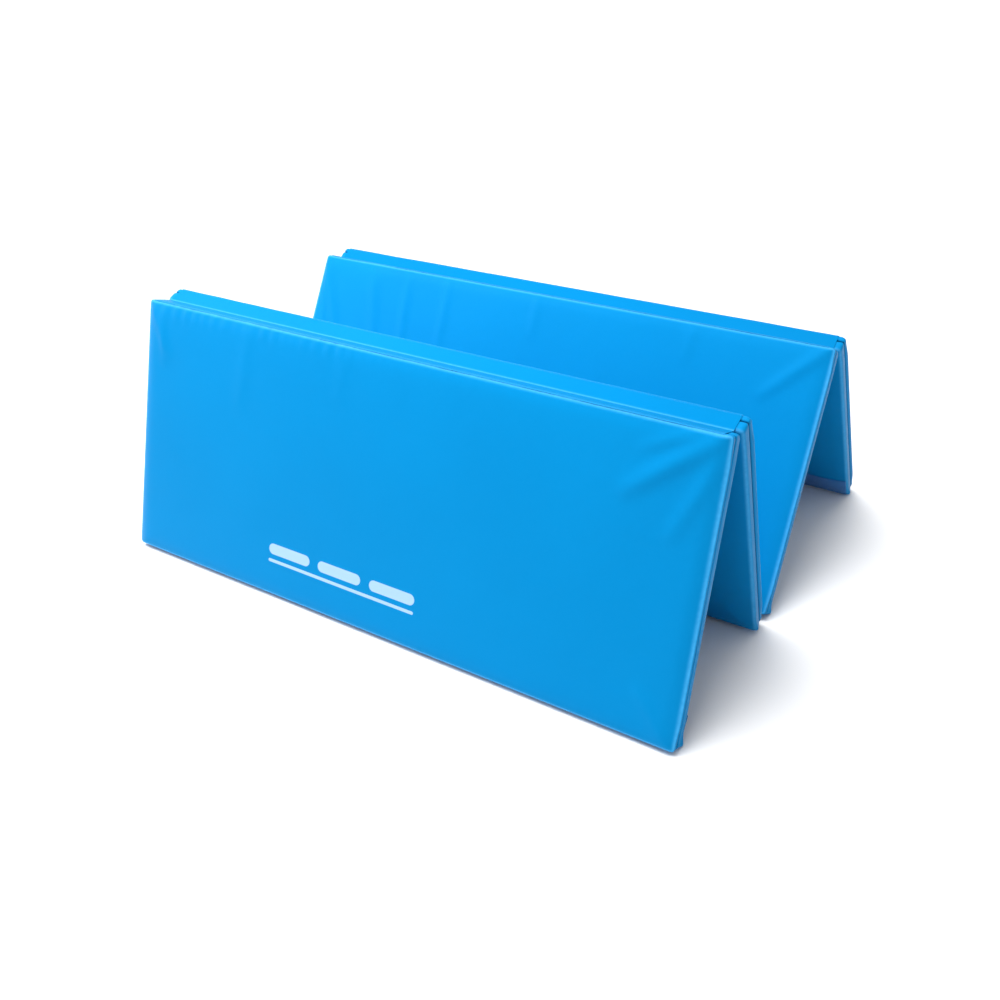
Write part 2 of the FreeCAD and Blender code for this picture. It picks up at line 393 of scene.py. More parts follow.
def make_object(name, points, faces, material, crease_deg=50.0, rim=None, painted_seam_shade=None):
    mesh = bpy.data.meshes.new(name)
    mesh.from_pydata(points.tolist(), [], faces.tolist())
    mesh.materials.append(material)
    mesh.polygons.foreach_set("use_smooth", [True] * len(mesh.polygons))
    mesh.set_sharp_from_angle(angle=math.radians(crease_deg))
    # one mark carries the pale rolled edges, partly stretch wear and partly painted highlight; the
    # other carries the painted seam shade
    for key, values in (("rim", rim), ("painted_seam_shade", painted_seam_shade)):
        if values is not None:
            mark = mesh.attributes.new(key, "FLOAT", "POINT")
            mark.data.foreach_set("value", values.astype(np.float32))
    made = bpy.data.objects.new(name, mesh)
    bpy.context.scene.collection.objects.link(made)
    return made


def smooth_step(low, high, value):
    t = np.clip((value - low) / (high - low), 0.0, 1.0)
    return t * t * (3 - 2 * t)


print("mesh helpers ready")

# %% [markdown]
# ## The shape of a sewn cover
#
# Each bag is two shallow trays of vinyl that meet at a seam running round the edge. A tray is
# unrolled here into a flat grid: a face in the middle and a band round it. The band is then
# wound over the edge roll and down the side to the seam, where the thread pulls it in a little.
# At a corner the square grid is bent into a quarter circle, so the sheet turns without a tear.

# %% Grid and profile of a cover
CROWN = 0.0018        # how far the face sinks below its fullest height at the edges
SHEET = 0.001         # vinyl thickness
FACE_GAP = 0.0003     # fullest height to the panel's nominal face
SEAM_GAP = 0.0001     # half the slit between the two trays
HALF_X = WIDTH / 2
HALF_U = (END_HIGH - END_LOW) / 2
ROLL = 0.007          # radius of the rolled edges
FLAT_BAND = CORNER - ROLL
ROLL_BAND = ROLL * math.pi / 2
GROOVE, GROOVE_REACH = 0.0026, 0.0048   # how far the thread pulls the seam in, and from where
# the dark line along the seam is painted shade
SEAM_LINE = 0.0016    # width of the dark line along it
CORNER_PULL = 0.0022  # how far a corner stands out past its round
INNER_EAR, EAR_REACH = 0.0045, 0.016    # small point at a low corner of the inner tray
SWELL_EASE = 0.04     # run over which an end's swelling dies away towards its corners
BULGE = {"outer": 0.0024, "inner": 0.0010}              # how far the sides of the ends swell
ZIP_LOW, ZIP_HIGH = 0.028, 0.472
ZIP_EASE = 0.003                                        # run over which the zip opens
ZIP_EDGE = {"outer": 0.0105, "inner": 0.0245}           # n of the cut edges beside the zip
ZIP_LIP = {"outer": ZIP_EDGE["outer"], "inner": THICK - ZIP_EDGE["inner"]}
TRAY = {"outer": SEAM, "inner": THICK - SEAM}           # face plane to the seam


def knots(half, side_depth, spacing, fine):
    """Grid lines across one direction: band, face, band."""
    flat = np.linspace(0, FLAT_BAND, 3 if fine else 2)
    roll = FLAT_BAND + ROLL_BAND * np.linspace(0, 1, 9 if fine else 4)[1:]
    shares = [0.2, 0.4, 0.56, 0.68, 0.78, 0.86, 0.93, 1.0] if fine else [0.5, 1.0]
    wall = roll[-1] + side_depth * np.array(shares)
    band = (half - CORNER) + np.concatenate([flat, roll, wall])
    count = int(round(2 * (half - CORNER) / spacing))
    face = np.linspace(-(half - CORNER), half - CORNER, count + 1)[1:-1]
    return np.concatenate([-band[::-1], face, band])


def tray_points(side, spacing, fine):
    """Outside and inside of a tray in panel axes, with what we need to dress it."""
    side_depth = TRAY[side] - FACE_GAP - CROWN - ROLL - SEAM_GAP
    p, q = (knots(half, side_depth, spacing, fine) for half in (HALF_X, HALF_U))
    P, Q = np.meshgrid(p, q, indexing="ij")
    past_x = np.maximum(np.abs(P) - (HALF_X - CORNER), 0)
    past_u = np.maximum(np.abs(Q) - (HALF_U - CORNER), 0)
    band = np.maximum(past_x, past_u)
    length = np.maximum(np.hypot(past_x, past_u), 1e-12)
    turn = np.clip((band - FLAT_BAND) / ROLL, 0, math.pi / 2)
    down = np.clip(band - FLAT_BAND - ROLL_BAND, 0, None)
    opening = (smooth_step(-ZIP_EASE, ZIP_EASE, Q + MIDDLE_U - ZIP_LOW)
               * smooth_step(-ZIP_EASE, ZIP_EASE, ZIP_HIGH - MIDDLE_U - Q))
    opening = np.where((P < 0) & (past_u <= 0), opening, 0.0)
    short_depth = ZIP_LIP[side] - FACE_GAP - CROWN - ROLL
    down_here = down * (1 - opening * (1 - short_depth / side_depth))
    to_seam = side_depth - down
    pull_in = GROOVE * np.clip(1 - to_seam / GROOVE_REACH, 0, 1) ** 2 * (1 - opening)
    diagonal = 2 * np.minimum(past_x, past_u) / np.maximum(past_x + past_u, 1e-12)
    near_seam = np.clip(1 - to_seam / (side_depth + ROLL_BAND), 0.35, 1)
    ear = CORNER_PULL * diagonal ** 2 * near_seam * (band > FLAT_BAND)
    swollen = np.sin(np.clip((band - FLAT_BAND) / (ROLL_BAND + side_depth), 0, 1) * math.pi) ** 1.5
    from_round = HALF_U - CORNER - np.abs(Q)
    swollen = swollen * (past_u <= 0) * smooth_step(0, SWELL_EASE, from_round) * (1 - opening)
    reach = np.where(band < FLAT_BAND, band, FLAT_BAND + ROLL * np.sin(turn)) - pull_in + ear
    reach = reach + BULGE[side] * swollen * (band > FLAT_BAND)
    depth = CROWN + FACE_GAP + ROLL * (1 - np.cos(turn)) + down_here
    shells = []
    from_corner = np.hypot(HALF_X - np.abs(P), HALF_U - np.abs(Q))
    point_out = 0.0 if side == "outer" else INNER_EAR
    point_out = point_out * np.exp(-(from_corner / EAR_REACH) ** 2) * np.sin(turn) ** 2 * (Q < 0)
    for inset in (0.0, SHEET):
        radial = reach - inset * np.sin(turn)
        x = np.sign(P) * (np.minimum(np.abs(P), HALF_X - CORNER) + past_x / length * radial)
        u = np.sign(Q) * (np.minimum(np.abs(Q), HALF_U - CORNER) + past_u / length * radial)
        x = x + np.sign(P) * point_out * np.clip(to_seam / side_depth, 0, 1)
        shells.append(np.stack([x, depth + inset * np.cos(turn), u + MIDDLE_U], -1))
    # the last mark is painted shade: a dark line along the seam
    return {"p": p, "q": q, "P": P, "U": Q + MIDDLE_U, "turn": turn,
            "outside": shells[0], "inside": shells[1],
            "painted_seam_shade": np.exp(-(to_seam / SEAM_LINE) ** 2) * (1 - opening)}


print("cover edge, mm:", {"flat": round(FLAT_BAND * 1000, 2), "roll": round(ROLL_BAND * 1000, 2)})

# %% [markdown]
# ## Filling the bag
#
# The foam pushes the sheet out while the seam holds it in, which gives the faces their gentle
# crown and the corners their pinched look. A cloth simulation with a little air pressure finds
# a shape for it on a coarse copy of the bag, once for each panel. Foam is far firmer than air,
# which moves the sheet by centimetres, so the fine covers borrow only the pattern of the
# movement and scale it to the chosen crown height.

# %% Cloth simulation of one bag
SIM_SPACING, SIM_FRAMES, SIM_PRESSURE = 0.014, 20, 4.0
SIM_JITTER = 0.0002


def bag_for_simulation():
    trays = {side: tray_points(side, SIM_SPACING, False) for side in ("outer", "inner")}
    rows, columns = trays["outer"]["P"].shape
    outer = trays["outer"]["outside"].copy()
    inner = trays["inner"]["outside"].copy()
    inner[..., 1] = THICK - inner[..., 1]
    points = np.concatenate([outer.reshape(-1, 3), inner.reshape(-1, 3)])
    faces_outer = quads_of_grid(rows, columns)
    faces_inner = quads_of_grid(rows, columns, rows * columns)[:, ::-1]
    rim = rim_of_grid(rows, columns)
    merged = np.arange(len(points))
    merged[rim + rows * columns] = rim
    faces = merged[np.concatenate([faces_outer, faces_inner])]
    kept, numbers = np.unique(faces, return_inverse=True)
    faces = numbers.reshape(faces.shape)
    points = points[kept]
    if signed_volume(points, faces) < 0:
        faces = faces[:, ::-1]
    where = np.full(2 * rows * columns, -1)
    where[kept] = np.arange(len(kept))
    where[rim + rows * columns] = where[rim]
    return trays, points, faces, where.reshape(2, rows, columns), where[rim]


def fill_bag(number):
    """Movement of every point of both trays' faces, by air pressure, in panel axes."""
    trays, points, faces, where, seam = bag_for_simulation()
    rng = np.random.default_rng(40 + number)
    start = points + rng.normal(0, SIM_JITTER, points.shape)
    proxy = make_object(f"proxy_{number}", start, faces, vinyl_plain)
    pins = proxy.vertex_groups.new(name="seam")
    pins.add([int(i) for i in seam], 1.0, "REPLACE")
    cloth = proxy.modifiers.new("cloth", "CLOTH")
    cloth.settings.quality = 5
    cloth.settings.mass = 0.3
    cloth.settings.tension_stiffness = cloth.settings.compression_stiffness = 25
    cloth.settings.shear_stiffness = 12
    cloth.settings.bending_stiffness = 2
    cloth.settings.use_pressure = True
    cloth.settings.uniform_pressure_force = SIM_PRESSURE
    cloth.settings.vertex_group_mass = "seam"
    cloth.settings.effector_weights.gravity = 0
    cloth.collision_settings.use_collision = False
    cloth.point_cache.frame_end = SIM_FRAMES
    scene = bpy.context.scene
    for step_now in range(1, SIM_FRAMES + 1):
        scene.frame_set(step_now)
    final = proxy.evaluated_get(bpy.context.evaluated_depsgraph_get()).data
    moved = np.empty(len(final.vertices) * 3, np.float32)
    final.vertices.foreach_get("co", moved)
    moved = moved.reshape(-1, 3).astype(float) - points
    mesh = proxy.data
    bpy.data.objects.remove(proxy)
    bpy.data.meshes.remove(mesh)
    scene.frame_set(1)
    outward = {"outer": -moved[where[0]][..., 1], "inner": moved[where[1]][..., 1]}
    return {side: (tray["p"], tray["q"], outward[side]) for side, tray in trays.items()}


def spread(p_from, q_from, values, P, Q):
    """Values on a coarse grid read between its lines."""
    i = np.clip(np.searchsorted(p_from, P) - 1, 0, len(p_from) - 2)
    j = np.clip(np.searchsorted(q_from, Q) - 1, 0, len(q_from) - 2)
    s = np.clip((P - p_from[i]) / (p_from[i + 1] - p_from[i]), 0, 1)
    t = np.clip((Q - q_from[j]) / (q_from[j + 1] - q_from[j]), 0, 1)
    low = values[i, j] * (1 - t) + values[i, j + 1] * t
    high = values[i + 1, j] * (1 - t) + values[i + 1, j + 1] * t
    return low * (1 - s) + high * s


filled = {}
for number in panels:
    filled[number] = fill_bag(number)
    _, _, raw = filled[number]["outer"]
    print(f"panel {number}: air moved the face by up to {raw.max() * 1000:.1f} mm")

# %% [markdown]
# ## Folds and puckers
#
# The sheet is not perfectly flat. Thread gathers it into small puckers along the edges, the
# corners pull soft diagonal folds, and long handling leaves a few shallow swells. Each is a
# smooth bump laid on the face. Faces that close on each other leave a thin wedge of room that
# widens from the fold, and nothing may stand above it. The outer faces of the first and last
# panels close on nothing, so their folds may stand higher.

# %% Surface detail of the faces
ONE_TURN = 6.283
AIR_SHARE = 0.45      # share of the largest movement at which the crown is nearly full
CROWN_SHARE = 0.86    # how much of the crown's room the plain face takes
QUICK_REACH = 0.05
SWELL, PUCKER, PUCKER_REACH = 0.00022, 0.00030, 0.016
GATHER = 0.0013       # height of the gathers under the front panel's top edge


def ridge_bump(x, u, start, end, width, height):
    """A soft fold from start to end, fading at both ends."""
    along = np.array(end) - np.array(start)
    size = np.hypot(*along)
    t = ((x - start[0]) * along[0] + (u - start[1]) * along[1]) / size ** 2
    off = np.abs((x - start[0]) * along[1] - (u - start[1]) * along[0]) / size
    fade = np.sin(np.clip(t, 0, 1) * math.pi) ** 0.6
    return height * fade * np.exp(-(off / width) ** 2)


def ripples(value, rng, shortest, longest, count=7):
    """A random wavy line, from -1 to 1."""
    total = np.zeros_like(value)
    for wavelength, phase in zip(rng.uniform(shortest, longest, count), rng.uniform(0, 7, count)):
        total += np.sin(value / wavelength * 2 * math.pi + phase)
    return total / math.sqrt(count) / 1.6


def swells(x, u, rng):
    """Nine long waves crossing the face at random."""
    total = np.zeros_like(x)
    for _ in range(9):
        heading = rng.uniform(0, math.pi)
        wavelength, phase = rng.uniform(0.16, 0.6), rng.uniform(0, 7)
        ahead = x * math.cos(heading) + u * math.sin(heading)
        total += np.sin(ahead / wavelength * ONE_TURN + phase)
    return total / 3.0


FOLDS = {  # (start x, u), (end x, u), width, height, on the outer faces
    1: [
        ((0.598, 0.502), (0.440, 0.375), 0.014, 0.0052),
        ((0.594, 0.475), (0.530, 0.320), 0.012, 0.0030),
        ((0.570, 0.502), (0.460, 0.450), 0.009, 0.0024),
        ((-0.596, 0.500), (-0.530, 0.390), 0.011, 0.0022),
        ((-0.560, 0.500), (-0.548, 0.370), 0.009, 0.0016),
        ((0.594, 0.004), (0.520, 0.090), 0.011, 0.0022),
        ((-0.330, 0.502), (-0.345, 0.320), 0.015, 0.0013),
        ((-0.100, 0.502), (-0.110, 0.390), 0.013, 0.0010),
    ],
    3: [
        ((-0.598, 0.502), (-0.510, 0.300), 0.011, 0.0048),
        ((-0.585, 0.470), (-0.560, 0.290), 0.008, 0.0026),
        ((-0.455, 0.502), (-0.400, 0.280), 0.012, 0.0040),
        ((-0.355, 0.502), (-0.330, 0.290), 0.010, 0.0030),
        ((-0.245, 0.502), (-0.235, 0.330), 0.010, 0.0024),
        ((-0.020, 0.502), (-0.015, 0.400), 0.010, 0.0016),
        ((0.596, 0.500), (0.480, 0.380), 0.011, 0.0038),
        ((0.330, 0.502), (0.325, 0.410), 0.009, 0.0014),
    ],
    4: [
        ((0.596, 0.500), (0.520, 0.410), 0.012, 0.0026),
    ],
}
INNER_FOLDS = [
    ((0.592, 0.492), (0.530, 0.410), 0.010, 0.0014),
    ((0.592, 0.008), (0.520, 0.080), 0.010, 0.0012),
    ((-0.592, 0.492), (-0.520, 0.400), 0.010, 0.0013),
]
FREE_RISE = 0.005     # room above the crown where nothing closes on the face
WEDGE = 0.0060        # room gained per metre from the fold between two closed faces
SHOULDER_END = {"outer": 0.0052, "inner": 0.0018}
SHOULDER_SIDE = {"outer": 0.0030, "inner": 0.0010}
SHOULDER_RUN, SHOULDER_POWER = (0.0125, 0.0105), 1.6   # run at the ends, run at the sides


def shoulder(side, x, u):
    """How far the face falls away beside its edges, where the foam is crushed by the seam."""
    to_end = np.maximum(HALF_X - np.abs(x), 0)
    to_side = np.maximum(HALF_U - np.abs(u - MIDDLE_U), 0)
    ends = SHOULDER_END[side] * np.exp(-(to_end / SHOULDER_RUN[0]) ** SHOULDER_POWER)
    sides = SHOULDER_SIDE[side] * np.exp(-(to_side / SHOULDER_RUN[1]) ** SHOULDER_POWER)
    return np.maximum(ends, sides)


def rise_limit(number, side, u):
    """Highest the face may stand: folded panels leave a thin wedge that widens from the fold."""
    if side == "outer" and number in (1, 4):
        return np.full_like(u, CROWN + FREE_RISE)
    from_fold = u if side == "outer" else PITCH - u
    return CROWN + WEDGE * from_fold


def edge_puckers(x, u, rng, height):
    to_ends = HALF_X - np.abs(x)
    to_sides = HALF_U - np.abs(u - MIDDLE_U)
    long_edges = ripples(x, rng, 0.014, 0.05) * np.exp(-to_sides / PUCKER_REACH)
    short_edges = ripples(u, rng, 0.014, 0.05) * np.exp(-to_ends / PUCKER_REACH)
    return height * (long_edges + short_edges)


def facing(tray):
    """1 on the flat of the face, falling to 0 as the sheet turns down the side."""
    return np.maximum(np.cos(tray["turn"]), 0) ** 1.5


def face_rise(number, side, tray):
    """How far the face stands above its sunken start: crown, swells, folds and puckers."""
    x, u = tray["P"], tray["U"]
    rng = np.random.default_rng(10 * number + (side == "inner"))
    if number in filled:
        air = np.maximum(spread(*filled[number][side], x, u - MIDDLE_U), 0)
        crown = CROWN * np.tanh(air / (AIR_SHARE * max(air.max(), 1e-6)))
    else:
        inside = np.minimum(HALF_X - np.abs(x), HALF_U - np.abs(u - MIDDLE_U))
        crown = CROWN * np.tanh(np.maximum(inside, 0) / QUICK_REACH)
    rise = CROWN_SHARE * crown + SWELL * swells(x, u, rng) + edge_puckers(x, u, rng, PUCKER)
    if number == 1 and side == "outer":
        below_top = END_HIGH - u
        gathered = smooth_step(0.25, -0.35, x) * np.exp(-((below_top - 0.012) / 0.013) ** 2)
        rise += GATHER * gathered * ripples(x, rng, 0.018, 0.034)
    for fold in FOLDS.get(number, []) if side == "outer" else INNER_FOLDS:
        rise += ridge_bump(x, u, *fold)
    rise = np.minimum(rise, rise_limit(number, side, u)) - shoulder(side, x, u)
    return rise * facing(tray)


print("folds placed:", sum(len(rows) for rows in FOLDS.values()), "+", len(INNER_FOLDS))

# %% [markdown]
# ## The covers
#
# About six thousand square centimetres of sheet per face, a millimetre thick. The rolled edges
# are marked in the mesh so that the finish can pale them, partly as stretched vinyl does and
# partly as a painted highlight along the roll. The seam line is marked for painted shade.

# %% Make the eight covers
FACE_SPACING = 0.007
# the palest band round the roll is partly stretch wear and partly a painted highlight
HIGHLIGHT_AND_WEAR_TURN, HIGHLIGHT_AND_WEAR_SPREAD = 0.8, 0.45   # where round the roll the sheet is palest, in radians
# how strongly the painted seam shade darkens the seam line
PAINTED_SEAM_SHADE_SHARE = 0.85
surface = {}
for number, panel in panels.items():
    for side in ("outer", "inner"):
        tray = tray_points(side, FACE_SPACING, True)
        rise = face_rise(number, side, tray)
        surface[number, side] = {"p": tray["p"], "q": tray["q"],
                                 "depth": tray["outside"][..., 1] - rise}
        shells = []
        for shell in (tray["outside"], tray["inside"]):
            shell = shell.copy()
            shell[..., 1] -= rise
            if side == "inner":
                shell[..., 1] = THICK - shell[..., 1]
            shells.append(panel.place(shell))
        points, faces = closed_sheet(*shells)
        # the roll is marked to pale, partly stretch wear and partly a painted highlight, and the
        # seam line is marked for painted shade
        wear_and_highlight = np.exp(-((tray["turn"] - HIGHLIGHT_AND_WEAR_TURN) / HIGHLIGHT_AND_WEAR_SPREAD) ** 2).ravel()
        rim = np.concatenate([wear_and_highlight, np.zeros(wear_and_highlight.size)])
        painted_seam_shade = np.concatenate([PAINTED_SEAM_SHADE_SHARE * tray["painted_seam_shade"].ravel()] * 2)
        finish = vinyl_printed if (number, side) == (1, "outer") else vinyl_plain
        name = f"{side}_skin_{number}"
        cover = make_object(name, points, faces, finish, 60.0, rim, painted_seam_shade)
        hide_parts(f"{side}_cover_{number}")
        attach(cover, panel.body)


def face_at(number, side, x, u):
    """n of the cover's outside at (x, u)."""
    known = surface[number, side]
    depth = spread(known["p"], known["q"], known["depth"], np.asarray(x, float),
                   np.asarray(u, float) - MIDDLE_U)
    return depth if side == "outer" else THICK - depth


# %% [markdown]
# ## Foam cores
#
# The slab inside is cut a few millimetres small all round, and its edges crush where the seam
# pulls in. It only shows if a zip is opened, but it is what the covers are stretched over.

# %% Make the foam
FOAM_INSET, FOAM_SPACING = 0.0045, 0.02
FOAM_SHOULDER = 1.15   # the foam sinks a little further than the cover over it
FOAM_GAP, FOAM_LIP = 0.0004, 0.0002


def foam_points(side):
    tray = tray_points(side, FOAM_SPACING, True)
    shell = tray["outside"].copy()
    shell[..., 1] += FOAM_SHOULDER * shoulder(side, tray["P"], tray["U"]) * facing(tray)
    scale_x, scale_u = 1 - FOAM_INSET / HALF_X, 1 - FOAM_INSET / HALF_U
    shell[..., 0] *= scale_x
    shell[..., 2] = MIDDLE_U + (shell[..., 2] - MIDDLE_U) * scale_u
    shell[..., 1] += (SHEET + FOAM_GAP) * np.cos(tray["turn"])
    return shell, tray["outside"].shape[:2]


def foam_slab(number, panel):
    outer, size = foam_points("outer")
    inner, _ = foam_points("inner")
    inner[..., 1] = THICK - inner[..., 1]
    seam_rim = rim_of_grid(*size)
    for shell in (outer, inner):
        flat = shell.reshape(-1, 3)
        flat[seam_rim, 1] = SEAM + (FOAM_LIP if shell is inner else -FOAM_LIP)
    points, faces = closed_sheet(panel.place(outer), panel.place(inner))
    return make_object(f"foam_slab_{number}", points, faces, foam, 40.0)


for number, panel in panels.items():
    slab = foam_slab(number, panel)
    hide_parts(f"foam_core_{number}")
    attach(slab, panel.body)
print("foam made")

# %% [markdown]
# ## Hinge strips
#
# The hinges are nothing but strips of the same vinyl, sewn along both panel edges and bent down
# the middle. The strip is one closed band: flat over each edge, curled slightly over the outer
# roll, creased at the fold line. Across the crease its shape is blended between its two panels.

# %% Make the three hinge strips
STRIP_HALF_X = HALF_X - STRIP_INSET
STRIP_TOP, STRIP_THICK = 0.00042, 0.00102
CREASE_EXTRA = 0.0005   # sheet each leaf gives up to the turn of the crease
STRIP_ROWS = 168
HUG = (1.0, 0.6)        # how closely each leaf follows the roll under it
STITCH_IN = 0.0035      # cut edge of a strip to its row of stitches
STITCH_SUNK, STITCH_RUN = 0.00018, 0.0012    # depth and width of the dent under the row
CREASE_SUNK = 0.00022   # depth of the hollow beside the crease
STRIP_LIFT, STRIP_WANDER = 0.00009, 0.0003   # unevenness of its height and of its cut edge


def strip_profile(reach, curl_from, hug):
    """(distance from the fold line, height below it) along one leaf, far end first."""
    e = np.concatenate([[reach, reach - 0.0004, reach - 0.0012],
                        np.linspace(reach - 0.0025, 0.008, 11),
                        [0.006, 0.0042, 0.003, 0.002, 0.0012, 0.0006, 0.0]])
    past = np.clip(e - curl_from, 0, ROLL - 0.0002)
    curl = hug * (ROLL - np.sqrt(ROLL ** 2 - past ** 2))
    stitched = STITCH_SUNK * np.exp(-((e - (reach - STITCH_IN)) / STITCH_RUN) ** 2)
    hollow = CREASE_SUNK * np.exp(-((e - 0.0065) / 0.0035) ** 2)
    thinned = 0.0006 * hug * np.clip((e - (reach - 0.0015)) / 0.0015, 0, 1) ** 2
    return e, STRIP_TOP + curl + stitched + hollow, thinned


def hinge_strip(name, first, second, fold, down, reach, curl_from, seed):
    """One strip over two panels' edges, and the width its sheet is cut to."""
    rng = np.random.default_rng(seed)
    x = np.linspace(-STRIP_HALF_X, STRIP_HALF_X, STRIP_ROWS)
    lift = STRIP_LIFT * ripples(x, rng, 0.012, 0.04)
    wander = STRIP_WANDER * ripples(x, rng, 0.08, 0.3)
    middle_share = np.array([0.25, 0.5, 0.75])
    below_middle = [(1 - share) * first.up + share * second.up for share in middle_share]
    top, bottom = [], []
    for row in range(STRIP_ROWS):
        upper, lower = [], []
        for panel, hug, order in ((first, HUG[0], 1), (second, HUG[1], -1)):
            e, f, thinned = strip_profile(reach, curl_from, hug)
            across = e + np.where(e > reach - 0.004, wander[row], 0)
            f_top = f + np.clip(e / 0.012, 0, 1) * lift[row]
            for line, depth in ((upper, f_top + thinned), (lower, f + STRIP_THICK)):
                leaf = ((-down * panel.inward) * across[:, None]
                        + (-down * panel.up) * depth[:, None])
                line.append(leaf[::order])
        for out, line, depth in ((top, upper, STRIP_TOP),
                                 (bottom, lower, STRIP_TOP + STRIP_THICK)):
            crease = [-down * depth * h / np.linalg.norm(h) for h in below_middle]
            ring = np.concatenate([line[0], crease, line[1]])
            out.append(ring + fold + np.array([x[row], 0, 0]))
    points, faces = closed_sheet(np.array(top), np.array(bottom))
    distance = np.concatenate([e, np.zeros(3), e[::-1]])
    # paler at the crease and along the cut edge: partly stretch wear, partly a painted highlight
    paler = (np.exp(-(distance / 0.0018) ** 2)
             + 0.5 * np.exp(-((distance - reach) / 0.0012) ** 2))
    rim = np.tile(np.clip(paler, 0, 1), STRIP_ROWS)
    strip = make_object(name, points, faces, shaded_strip_vinyl, 45.0, np.concatenate([rim, 0 * rim]))
    return strip, 2 * (reach + CREASE_EXTRA)


RIDGE_REACH, VALLEY_REACH = 0.0362, 0.0280
RIDGE_CURL = THICK - (FACE_GAP + CROWN + ROLL)
NO_CURL = 1.0           # farther than the strip reaches
strips = {  # panels, fold line, 1 on a ridge or -1 in a valley, reach, where the curl starts
    "ridge_1_strip": (1, 2, ridge_1, 1, RIDGE_REACH, RIDGE_CURL),
    "valley_strip": (2, 3, valley, -1, VALLEY_REACH, NO_CURL),
    "ridge_2_strip": (3, 4, ridge_2, 1, RIDGE_REACH, RIDGE_CURL),
}
for seed, (name, (a, b, fold, down, reach, curl_from)) in enumerate(strips.items()):
    leaves = [name.replace("strip", leaf) for leaf in ("leaf_front", "leaf_back")]
    strip, cut = hinge_strip(name, panels[a], panels[b], fold, down, reach, curl_from, seed + 70)
    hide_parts(*leaves)
    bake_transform(strip)
    side = "inner" if down == 1 else "outer"
    print(f"{name}: cut {2 * STRIP_HALF_X:.3f} x {cut:.3f} m")

# %% [markdown]
# ## Hem, flap and loop strip
#
# A flap of vinyl hangs from a hem sewn low on the front panel's inner face and carries the hook
# tape. The matching loop strip is sewn low on the back panel. Each follows the cover under it,
# so its back is read from the cover's own surface.

# %% Bands that lie on a cover
HEM_X, TAPE_X = 0.596, 0.590
HEM_U, LOOP_U = (0.0104, 0.0249), (0.0088, 0.0585)
HEM_THICK, LOOP_THICK = 0.0013, 0.0019
BAND_FLAT, BAND_EDGE = 0.16, 0.45   # how flat its top is, and the height left at its edges
BAND_PROUD = 0.0012     # farthest a band may stand past the panel's nominal face
FLAP_AXIS_N, FLAP_AXIS_U = 0.0436, 0.0085


def band_on_cover(name, number, half_x, u_range, thick, material, seed):
    """A soft band on an inner face, its back just clear of the cover."""
    panel = panels[number]
    rng = np.random.default_rng(seed)
    x = np.linspace(-half_x, half_x, 170)
    edge = np.array([0, 0.03, 0.08])
    share = np.concatenate([edge, np.linspace(0.16, 0.84, 6), 1 - edge[::-1]])
    u_low, u_high = u_range
    u = u_low + (u_high - u_low) * share
    X, U = np.meshgrid(x, u, indexing="ij")
    back = face_at(number, "inner", X, U) + 0.0001
    round_off = np.sin(np.pi * np.clip(share, 0.0, 1.0)) ** BAND_FLAT
    round_off[0] = round_off[-1] = BAND_EDGE
    front = back + thick * round_off + 0.00007 * ripples(X, rng, 0.01, 0.03)
    front = np.minimum(front, THICK + BAND_PROUD)
    shells = [panel.place(np.stack([X, n, U], -1)) for n in (front, back)]
    points, faces = closed_sheet(*shells)
    return make_object(name, points, faces, material, 45.0, np.zeros(len(points)))


hem = band_on_cover("hem_band", 1, HEM_X, HEM_U, HEM_THICK, vinyl_plain, 81)
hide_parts("flap_hem")
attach(hem, "panel_1")

loop_strip = band_on_cover("loop_strip", 4, HEM_X, LOOP_U, LOOP_THICK, loop_cloth, 82)
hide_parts("loop_tape")
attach(loop_strip, "panel_4")
print("hem and loop strip made")

# %% [markdown]
# ## The flap
#
# The flap is one sheet with a thickened root, folded up off the hem. Its free edge is slightly
# wavy and its two corners are cut round. The hook tape is sewn on the side that ends up against
# the loop strip.

# %% Make the flap and its hook tape
FLAP_OPEN = math.radians(15)
FLAP_LONG, FLAP_THICK, ROOT = 0.05, 0.0012, 0.0008
FLAP_CORNER, FLAP_EDGE = 0.012, 0.0002       # round of its corners, half thickness of its rim
TAPE_LOW, TAPE_HIGH, TAPE_THICK = 0.010, 0.046, 0.0006
front_panel = panels[1]
flap_axis = front_panel.place([0.0, FLAP_AXIS_N, FLAP_AXIS_U])
flap_out = math.cos(FLAP_OPEN) * front_panel.up + math.sin(FLAP_OPEN) * front_panel.inward
flap_face = math.cos(FLAP_OPEN) * front_panel.inward - math.sin(FLAP_OPEN) * front_panel.up


def flap_wave(x, g):
    """How far the sheet bows towards its tape side."""
    rng = np.random.default_rng(91)
    wave = 0.5 + 0.5 * ripples(x, rng, 0.12, 0.4)
    return 0.0007 * np.clip(wave, 0, 1.2) * (g / FLAP_LONG) ** 2


def flap_place(x, g, t):
    """Point at x, g along the flap, t towards its tape side."""
    return (flap_axis + x[..., None] * np.array([1.0, 0, 0]) + g[..., None] * flap_out
            + t[..., None] * flap_face)


